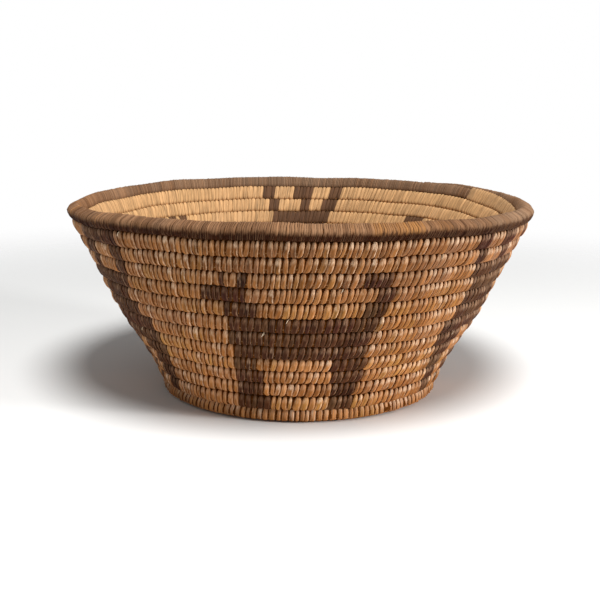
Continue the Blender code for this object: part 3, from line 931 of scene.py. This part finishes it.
def splint_material(
    name, stops, inner, mauve, golden, rubbed_and_highlight, palest, rub_and_highlight_share, painted_crease_shade, painted_inner_crease_shade
):
    """Sewing splint: its own tint and tone, grain, painted shade on its edges and ends, and painted
    highlight with some rubbing on its lit edges and tips.
    """
    material, tree = new_tree(name)
    v = splint_parts(tree)
    inside = between(tree, v["degrees"], *INNER_START)
    outside = between(tree, v["degrees"], *INNER_START[::-1])
    colour = toned(tree, ramp(tree, v["tint"], stops), v["tone"], mauve, golden)
    colour = mixed(tree, times(tree, inside, INNER_SHARE), colour, inner)
    grain = between(tree, v["grain"], *GRAIN_RANGE, *GRAIN_SHADES)
    colour = shaded(tree, colour, sums(tree, "ADD", grain, v["shade"]))
    # Painted highlight, with some rubbing: on the ridge nearer the side lamp and on the lit top tips, more
    # on stitches with more wear
    lit_edge = between(tree, v["across"], *LIT_EDGE_RANGE)
    ridge_highlight = times(tree, band(tree, v["side"], *HIGHLIT_RIDGE), lit_edge)
    tip_highlight = band(tree, v["degrees"], *HIGHLIT_TIP)
    rub_and_highlight = sums(tree, "MAXIMUM", times(tree, ridge_highlight, RIDGE_SHARE), times(tree, tip_highlight, TIP_SHARE))
    wear_and_highlight = between(tree, v["wear_and_highlight"], *RUB_AND_HIGHLIGHT_BY_WEAR)
    rub_and_highlight = times(tree, rub_and_highlight, wear_and_highlight, between(tree, v["fleck"], *RUB_AND_HIGHLIGHT_BY_FLECK), outside)
    worn_and_highlight = mixed(tree, between(tree, v["wear_and_highlight"], *PALEST_BY_WEAR), (*rubbed_and_highlight, 1.0), palest)
    colour = mixed(tree, times(tree, rub_and_highlight, rub_and_highlight_share), colour, worn_and_highlight)
    # Painted shade at the stitch's edges, at its lower and inner ends, and at its top end where the round
    # above covers it
    edge = between(tree, v["side"], EDGE_START, 1.0)
    upper = band(tree, v["degrees"], *UPPER_CREASE)
    for share, dark in (
        (times(tree, edge, outside, EDGE_SHARE), painted_crease_shade),
        (times(tree, edge, inside, INNER_EDGE_SHARE), painted_inner_crease_shade),
        (between(tree, v["degrees"], *LOWER_CREASE), painted_crease_shade),
        (times(tree, upper, UPPER_SHARE), painted_crease_shade),
        (between(tree, v["degrees"], *LAST_CREASE), painted_inner_crease_shade),
    ):
        colour = mixed(tree, share, colour, dark)
    roughness = between(tree, v["grain"], *ROUGHNESS)
    finish_material(tree, colour, roughness, v["grain"], SPLINT_BUMP, SPLINT_SPECULAR)
    return material


RIM_DARK = ((0.0, (0.022, 0.005, 0.001)), (0.6, (0.036, 0.009, 0.002)), (1.0, (0.060, 0.018, 0.006)))
RIM_TAN = ((0.15, (0.100, 0.045, 0.020)), (0.45, (0.175, 0.087, 0.042)), (0.8, (0.290, 0.158, 0.083)))
RIM_DUSTY = (0.195, 0.126, 0.080)
RIM_GOLDEN = (0.420, 0.185, 0.050)
RIM_STREAK = (0.420, 0.235, 0.125)
# Painted shade between the rim's wraps
RIM_PAINTED_CREASE_SHADE = (0.045, 0.015, 0.005)
GRASS_OUTER = ((0.30, (0.058, 0.014, 0.002)), (0.52, (0.115, 0.034, 0.005)), (0.75, (0.185, 0.066, 0.014)))
GRASS_INNER = (0.330, 0.165, 0.064)


def rim_material():
    """The rim's dark splints, worn to tan on top by handling, each wrap to its own height."""
    material, tree = new_tree("rim_splint")
    v = splint_parts(tree)
    dark = ramp(tree, v["tint"], RIM_DARK)
    mottle = sums(tree, "ADD", times(tree, v["tint"], MOTTLE[0]), times(tree, v["fleck"], MOTTLE[1]))
    tan = toned(tree, ramp(tree, mottle, RIM_TAN), v["tone"], RIM_DUSTY, RIM_GOLDEN)
    height = sums(tree, "SUBTRACT", v["degrees"], times(tree, v["wear_and_highlight"], RIM_WEAR_REACH))
    flecks = between(tree, v["fleck"], *RIM_FLECKS)
    worn_and_highlight = between(tree, sums(tree, "ADD", height, flecks), *RIM_WORN)
    worn_and_highlight = times(tree, worn_and_highlight, between(tree, v["degrees"], *RIM_WORN_END))
    colour = mixed(tree, worn_and_highlight, dark, tan)
    grain = between(tree, v["grain"], *GRAIN_RANGE, *RIM_GRAIN_SHADES)
    colour = shaded(tree, colour, sums(tree, "ADD", grain, v["shade"]))
    wear_and_highlight = between(tree, v["wear_and_highlight"], *STREAK_BY_WEAR)
    above = between(tree, v["degrees"], *STREAK_ABOVE)
    streak = times(tree, band(tree, v["side"], *WRAP_STREAK), wear_and_highlight, above)
    colour = mixed(tree, streak, colour, RIM_STREAK)
    # Painted shade at the edges between wraps
    colour = mixed(tree, between(tree, v["side"], *WRAP_EDGE), colour, RIM_PAINTED_CREASE_SHADE)
    roughness = between(tree, v["grain"], *RIM_ROUGHNESS)
    finish_material(tree, colour, roughness, v["grain"], RIM_BUMP, SPLINT_SPECULAR)
    return material


def bundle_material():
    """Dark stained grass, in fine stems along the coil, and paler where it faces the inside."""
    material, tree = new_tree("grass_bundle")
    around = kept(tree, "around")
    coordinates = {
        "X": times(tree, around, GRASS_STEMS),
        "Y": times(tree, kept(tree, "along"), GRASS_LENGTHS),
    }
    stems = noise_at(tree, coordinates, *GRASS_NOISE)
    inside = times(tree, band(tree, around, *GRASS_INSIDE), GRASS_INSIDE_SHARE)
    colour = mixed(tree, inside, ramp(tree, stems, GRASS_OUTER), GRASS_INNER)
    finish_material(tree, colour, GRASS_ROUGHNESS, stems, GRASS_BUMP, GRASS_SPECULAR)
    return material


PALE = splint_material(
    "pale_splint",
    stops=(
        (0.00, (0.238, 0.083, 0.020)),
        (0.25, (0.305, 0.111, 0.028)),
        (0.50, (0.372, 0.142, 0.039)),
        (0.75, (0.440, 0.178, 0.054)),
        (1.00, (0.520, 0.226, 0.080)),
    ),
    inner=(0.490, 0.310, 0.154),
    mauve=(0.305, 0.132, 0.062),
    golden=(0.450, 0.214, 0.052),
    # Colours of the painted highlight, with some rubbing
    rubbed_and_highlight=(0.900, 0.610, 0.385),
    palest=(0.950, 0.700, 0.490),
    rub_and_highlight_share=0.92,
    # Colours of the painted shade in the creases
    painted_crease_shade=(0.235, 0.066, 0.007),
    painted_inner_crease_shade=(0.340, 0.172, 0.064),
)
DARK = splint_material(
    "dark_splint",
    stops=(
        (0.00, (0.034, 0.010, 0.004)),
        (0.40, (0.051, 0.016, 0.006)),
        (0.75, (0.076, 0.026, 0.010)),
        (1.00, (0.116, 0.042, 0.017)),
    ),
    inner=(0.105, 0.056, 0.030),
    mauve=(0.075, 0.020, 0.013),
    golden=(0.130, 0.064, 0.026),
    # Colours of the painted highlight, with some rubbing
    rubbed_and_highlight=(0.480, 0.275, 0.160),
    palest=(0.520, 0.320, 0.200),
    rub_and_highlight_share=0.78,
    # Colours of the painted shade in the creases
    painted_crease_shade=(0.026, 0.008, 0.002),
    painted_inner_crease_shade=(0.045, 0.020, 0.010),
)
FRAYED = splint_material(
    "frayed_splint",
    stops=((0.0, (0.560, 0.380, 0.220)), (1.0, (0.800, 0.640, 0.450))),
    inner=(0.700, 0.520, 0.340),
    mauve=(0.600, 0.400, 0.270),
    golden=(0.700, 0.500, 0.280),
    # Colours of the painted highlight, with some rubbing
    rubbed_and_highlight=(0.850, 0.720, 0.560),
    palest=(0.850, 0.720, 0.560),
    rub_and_highlight_share=0.60,
    # Colours of the painted shade in the creases
    painted_crease_shade=(0.420, 0.250, 0.130),
    painted_inner_crease_shade=(0.420, 0.250, 0.130),
)
RIM = rim_material()
GRASS = bundle_material()


def dress(item, material, slot_name, *replaced):
    """Gives a piece its material and body, and hides the CAD nodes it stands for; its slot name is not
    used.
    """
    item.data.materials.append(material)
    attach(item, "root")
    if replaced:
        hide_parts(*replaced)


def bundle(name, start, end, thinner, shorter, rng):
    """The grass bundle of a stretch of the coil, one closed tube, a little lumpy."""
    turns = np.linspace(start, end, int((end - start) * BUNDLE_STEPS) + 2)
    angles = np.arange(BUNDLE_AROUND) * math.tau / BUNDLE_AROUND
    half_high = at(turns, HALF_HIGH)[:, None]
    fullness = np.minimum(half_high / HALF_BUNDLE, 1.0)
    half_thick = np.sqrt(fullness) * (COIL_THICKNESS / 2 - thinner)
    x, y, nx, ny = section(angles[None, :], half_thick, half_high - fullness * shorter)
    lumps = BUNDLE_LUMPS * rng.standard_normal(x.shape)
    points = on_coil(turns[:, None], x + nx * lumps, y + ny * lumps)
    values = {"around": angles[None, :] / math.tau, "along": turns[:, None]}
    return new_mesh(name, points, *tube_faces(1, *x.shape), values)


def sew_base_and_wall(rng):
    """Every stitch from the knot to the rim: a pale piece for each round, a dark one for each figure."""
    stitches = sewn_stretch(START_SHARE + FIRST_STITCH_TURN, DARK_START, STITCH_PITCH, rng)
    aim_between(stitches)
    dark = np.zeros(len(stitches["turn"]), bool)
    for name, mask in dark_masks(stitches["turn"]).items():
        dark |= mask
        item = sewing(name + "_sewing", chosen(stitches, mask), STITCH, SPLINT_CROWN, STITCH_DIP)
        dress(item, DARK, "dark_splint", name)
    rounds = np.minimum(np.floor(stitches["turn"]).astype(int), RIM_START - 1)
    for count in range(RIM_START):
        if count < WALL_START:
            name, node = f"base_round_{count + 1:02d}", "base_coil"
        else:
            name, node = f"wall_round_{count - WALL_START + 1:02d}", "wall_coil"
        pale = chosen(stitches, (rounds == count) & ~dark)
        dress(sewing(name, pale, STITCH, SPLINT_CROWN, STITCH_DIP), PALE, "pale_splint", node)
    add_loose_ends(chosen(stitches, rng.random(len(dark)) < LOOSE_END_SHARE), rng)


def add_loose_ends(stitches, rng):
    """Slivers of splint that stand a little proud where one length of sewing ends and the next begins."""
    count = len(stitches["turn"])
    for key in ("shift", "next_shift", "bow", "roll"):
        stitches[key] = np.zeros(count)
    stitches["lean"] = uneven(rng, count, 0.0, LOOSE_LEAN)
    stitches["crown"] = 1.0 + LOOSE_CROWN * rng.random(count)
    stitches["tint"] = rng.random(count)
    stitches["tone"] = np.zeros(count)
    stitches["shade"] = LOOSE_SHADES * (rng.random(count) - 0.3)
    dress(sewing("loose_ends", stitches, LOOSE_END, SPLINT_CROWN, 0.0), FRAYED, "pale_splint")


def sew_rim(rng):
    """The rim's overcasting, close and fine, in two pieces."""
    wraps = sewn_stretch(DARK_START, TAIL_END, WRAP_PITCH, rng)
    count = len(wraps["turn"])
    for key, spread in WRAP_HAND.items():
        wraps[key] = uneven(rng, count, *spread)
    wraps["shade"] = WRAP_SHADES * (rng.random(count) - 0.5)
    for key, spread in WRAP_FORM.items():
        wraps[key] = uneven(rng, count, *spread)
    wraps["tint"] = WRAP_TINTS[0] * splints(count, rng, *WRAP_RUN) + WRAP_TINTS[1] * rng.random(count)
    wraps["tone"] = WRAP_TONE_SHARE * wraps["tone"]
    first = wraps["turn"] < RIM_START + RIM_SPLIT_TURN
    for name, mask in (("rim_wraps_first", first), ("rim_wraps_last", ~first)):
        item = sewing(name, chosen(wraps, mask), WRAP, WRAP_CROWN, WRAP_DIP, RIM_SHRINK)
        dress(item, RIM, "dark_splint", "rim_overcast")


def knot_wraps(rng):
    """Splints wound round a small ring: the rim of the start knot."""
    radius = KNOT_RADIUS + ROUND_GAP / 2 - SPLINT_CLEARANCE
    half_thick, half_wide = KNOT_THICKNESS / 2, radius * KNOT_RING_SHARE
    middle = radius - half_wide
    angles = np.linspace(0.0, math.tau, KNOT_STEPS, endpoint=False)[None, :, None]
    spin = (np.arange(KNOT_WRAPS) * math.tau / KNOT_WRAPS)[:, None, None]
    x, y, nx, ny = section(angles, half_wide - SPLINT_CROWN, half_thick - SPLINT_CROWN)
    high = np.where(ON_TOP > 0, SPLINT_CROWN * CROWN_LINE, UNDERSIDE)
    reach = middle + x + nx * high
    swirl = spin + KNOT_SWIRL * np.sin(angles) + KNOT_WRAP_WIDTH_SHARE * ACROSS * math.pi / KNOT_WRAPS
    height = FOOT_LINE_HEIGHT + BASE_RISE + y + ny * high + np.zeros_like(spin)
    points = np.stack((reach * np.cos(swirl), reach * np.sin(swirl), height), -1)
    quads, ends = tube_faces(*points.shape[:3])
    first, last = ends[:KNOT_WRAPS, ::-1], ends[KNOT_WRAPS:]
    closing = np.stack((last, np.roll(last, -1, 1), np.roll(first, -1, 1), first), -1)
    quads = np.concatenate((quads, closing.reshape(-1, 4)))
    values = knot_values(len(points), ACROSS * ON_TOP, KNOT_WRAP_TINT, rng)
    return new_mesh("start_knot_wraps", points, quads, ends[:0], values)


def knot_values(count, across, reach, rng):
    """What a knot's mesh keeps at its points; tint, shade and wear differ up to a reach."""
    values = {"around": 0.0, "across": across, "tone": 0.0}
    for key in ("tint", "shade", "wear_and_highlight"):
        values[key] = reach * rng.random(count)[:, None, None]
    return values


def knot_plait(rng):
    """Three splints each way, plaited across the middle of the knot, above and below."""
    tubes = []
    along = np.linspace(-1.0, 1.0, KNOT_STRIP_STEPS)[:, None]
    section_u = np.array([-1.0, -0.6, 0.0, 0.6, 1.0, 0.6, -0.6])
    section_h = np.array([0.0, 0.8, 1.0, 0.8, 0.0, -0.6, -0.6])
    place = along * KNOT_RADIUS * KNOT_PLAIT_REACH_SHARE
    wave = np.cos(along * KNOT_PLAIT_WAVES * math.pi)
    crown = SPLINT_CROWN * KNOT_PLAIT_CROWN_SHARE * section_h
    for side in (1.0, -1.0):
        for way in (0, 1):
            for i in (-1, 0, 1):
                over = 1.0 if (i + way) % 2 else -1.0
                height = KNOT_PLAIT_HEIGHT + SPLINT_CROWN * KNOT_PLAIT_WAVE_SHARE * over * wave
                height = height - KNOT_PLAIT_DROOP * along**4 + crown
                offset = i * KNOT_STRIP_WIDTH * KNOT_STRIP_SPACING + KNOT_STRIP_WIDTH / 2 * section_u
                xy = (place, offset) if way else (offset, place)
                z = FOOT_LINE_HEIGHT + BASE_RISE + side * height
                tubes.append(np.stack(np.broadcast_arrays(*xy, z), -1))
    points = np.stack(tubes)
    values = knot_values(len(points), section_u, KNOT_PLAIT_TINT, rng)
    return new_mesh("start_knot_plait", points, *tube_faces(*points.shape[:3]), values)


def add_floor():
    """A pale floor that fades into the white backdrop away from the basket."""
    bpy.ops.mesh.primitive_circle_add(
        vertices=FLOOR_CORNERS, radius=FLOOR_RADIUS, fill_type="NGON", location=(0.0, 0.0, -FLOOR_DROP)
    )
    floor = bpy.context.object
    floor.name = "floor"
    material, tree = new_tree("pale_floor")
    place = add(tree, "TexCoord").outputs["Object"]
    reach = add(tree, "VectorMath", {0: place}, operation="LENGTH").outputs["Value"]
    cloth = add(tree, "BsdfDiffuse", {"Color": FLOOR_COLOUR})
    clear = add(tree, "BsdfTransparent")
    faded = between(tree, reach, FLOOR_FADE_START, FLOOR_RADIUS)
    mix = add(tree, "MixShader", {0: faded, 1: cloth.outputs[0], 2: clear.outputs[0]})
    add(tree, "OutputMaterial", {"Surface": mix.outputs[0]})
    floor.data.materials.append(material)


def add_world():
    """White where the camera, gloss or glass sees it, and a softer white that lights the basket."""
    world = bpy.data.worlds.new("studio")
    bpy.context.scene.world = world
    world.use_nodes = True
    tree = world.node_tree
    tree.nodes.clear()
    rays = add(tree, "LightPath").outputs
    seen = sums(tree, "MAXIMUM", rays["Is Camera Ray"], rays["Is Glossy Ray"])
    seen = sums(tree, "MAXIMUM", seen, rays["Is Transmission Ray"])
    strength = between(tree, seen, 0.0, 1.0, WORLD_LIGHT, 1.0)
    light = add(tree, "Background", {"Color": (1.0, 1.0, 1.0, 1.0), "Strength": strength})
    add(tree, "OutputWorld", {"Surface": light.outputs[0]})


def add_lamp(name, place, size, power):
    """A round soft lamp, aimed at the basket."""
    data = bpy.data.lights.new(name, "AREA")
    data.shape = "DISK"
    data.size = size
    data.energy = power
    lamp = new_object(name, data)
    lamp.location = place
    lamp.rotation_euler = (Vector(LAMP_AIM) - Vector(place)).to_track_quat("-Z", "Y").to_euler()


def add_camera():
    """The photograph's view of the basket."""
    data = bpy.data.cameras.new("camera")
    data.sensor_width = SENSOR_MM
    data.lens = FOCAL_PIXELS / IMAGE_PIXELS * SENSOR_MM
    data.shift_x = SHIFT_PIXELS / IMAGE_PIXELS
    data.clip_start = CAMERA_CLIP_START
    camera = new_object("camera", data)
    camera.location = (0.0, -CAMERA_DISTANCE, CAMERA_HEIGHT)
    pitch = Euler((math.pi / 2 - CAMERA_TILT, 0.0, 0.0)).to_matrix()
    roll = Euler((0.0, 0.0, CAMERA_ROLL)).to_matrix()
    camera.rotation_euler = (pitch @ roll).to_euler()
    bpy.context.scene.camera = camera


def main():
    """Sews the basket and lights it."""
    rng = np.random.default_rng(SEED)
    sew_base_and_wall(rng)
    sew_rim(rng)
    join = WALL_START + BUNDLE_JOIN_TURN
    shorter = RIM_CORE_SHORTER + RIM_SHRINK
    for name, node, *stretch in (
        ("base_bundle", "base_coil", START_SHARE, join, BUNDLE_THINNER, BUNDLE_SHORTER),
        ("wall_bundle", "wall_coil", join, DARK_START, BUNDLE_THINNER, BUNDLE_SHORTER),
        ("rim_core", "rim_bundle", DARK_START, TAIL_END, RIM_CORE_THINNER, shorter),
    ):
        dress(bundle(name, *stretch, rng), GRASS, "pale_splint", node)
    for knot in (knot_wraps(rng), knot_plait(rng)):
        dress(knot, DARK, "dark_splint", "start_knot")
    add_floor()
    add_world()
    for name, lamp in LAMPS.items():
        add_lamp(name, *lamp)
    add_camera()
    bpy.context.scene.view_settings.view_transform = "Standard"
    bpy.context.view_layer.update()


main()
